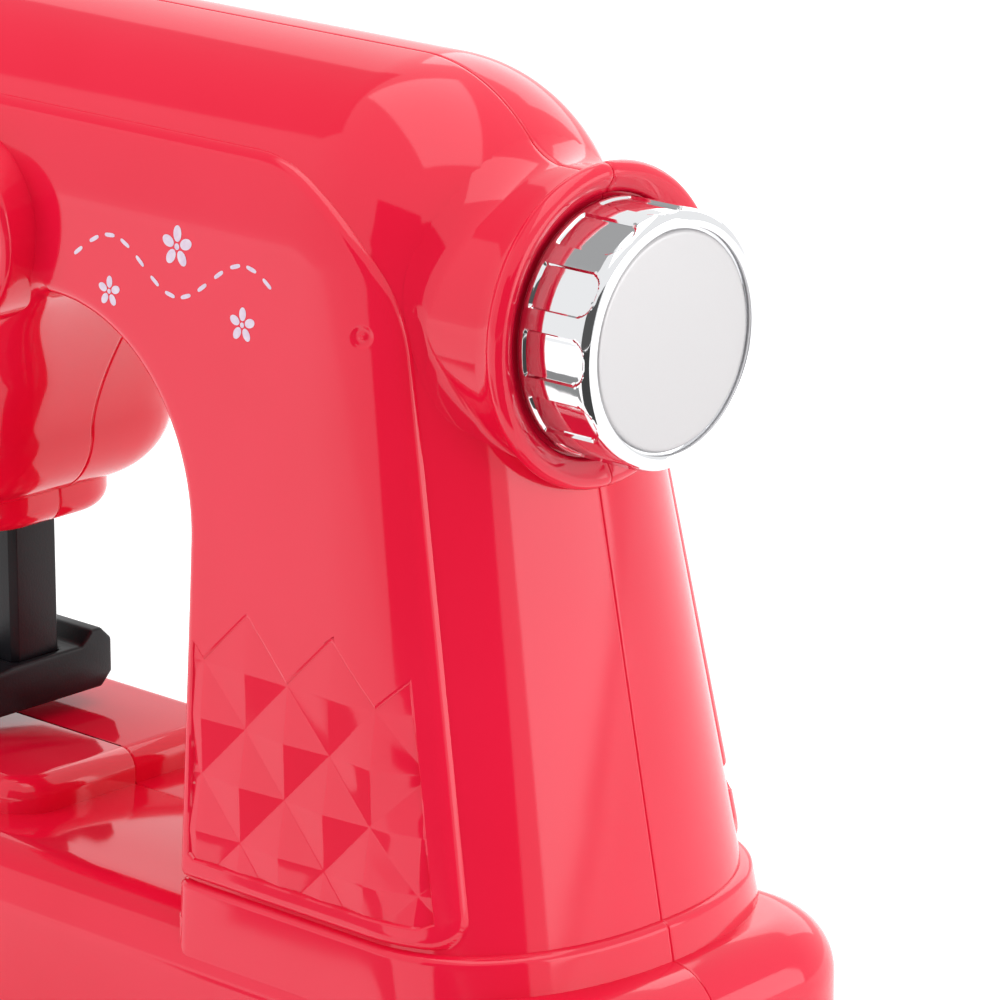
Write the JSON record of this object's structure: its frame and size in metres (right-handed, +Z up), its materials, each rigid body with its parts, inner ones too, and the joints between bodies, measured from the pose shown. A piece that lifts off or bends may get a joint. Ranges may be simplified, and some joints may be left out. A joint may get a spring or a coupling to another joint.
{
  "type": "toy sewing machine",
  "caption": "Toy sewing machine: two-half moulded column, arm and head on a base, with a fluted handwheel, front dial, crank-driven needle bar and battery bay.",
  "frame": {"origin": "on the table, under the middle of the base", "axes": "+X along the base towards the handwheel, +Y to the rear, +Z up; the front with the dial faces -Y"},
  "size_m": [0.217, 0.09, 0.185],
  "materials": {
    "red_plastic": "gloss",
    "chrome_plating": "mirror",
    "satin_disc": "satin",
    "black_plastic": "satin",
    "white_plastic": "satin",
    "steel": "satin",
    "brass": "satin",
    "rubber": "matte",
    "cell_wrap": "gloss"
  },
  "bodies": {
    "machine": {"front_body_shell": "red_plastic", "rear_body_shell": "red_plastic", "front_base_shell": "red_plastic", "rear_base_shell": "red_plastic", "needle_guide": "black_plastic", "switch_body": "black_plastic", "bottom_cover": "white_plastic", "battery_door": "white_plastic", "battery_door_screw": "steel", "body_screws": "steel", "column_screws": "steel", "base_screws": "steel", "motor": "steel", "battery_springs": "steel", "battery_plates": "steel", "right_bush": "brass", "left_bush": "brass", "rubber_feet": "rubber", "batteries": "cell_wrap"},
    "drive_shaft": {"main_shaft": "steel", "handwheel": "chrome_plating", "handwheel_cap": "satin_disc", "drive_gear": "white_plastic", "crank_disc": "white_plastic"},
    "motor_rotor": {"motor_pinion": "brass"},
    "needle_carrier": {"needle_bar": "black_plastic", "presser_foot": "black_plastic"},
    "dial": {"front_dial": "chrome_plating", "dial_cap": "satin_disc", "dial_axle": "white_plastic", "dial_clip": "steel"},
    "switch_knob": {"switch_slider": "black_plastic"}
  },
  "joints": [
    {"name": "handwheel_spin", "type": "hinge", "parent": "machine", "child": "drive_shaft", "pos_m": [0.08, 0, 0.144], "axis": [1, 0, 0], "continuous": true},
    {"name": "motor_spin", "type": "hinge", "parent": "machine", "child": "motor_rotor", "pos_m": [0.055, 0, 0.1176], "axis": [1, 0, 0], "continuous": true},
    {"name": "needle_lift", "type": "slide", "parent": "machine", "child": "needle_carrier", "axis": [0, 0, 1], "range_m": [-0.003, 0.009]},
    {"name": "dial_spin", "type": "hinge", "parent": "machine", "child": "dial", "pos_m": [-0.0405, -0.036, 0.147], "axis": [0, -1, 0], "continuous": true},
    {"name": "switch_slide", "type": "slide", "parent": "machine", "child": "switch_knob", "axis": [1, 0, 0], "range_m": [0, 0.004]}
  ],
  "couplings": [
    {"joint": "motor_spin", "follows": "handwheel_spin", "ratio": -2.5}
  ]
}
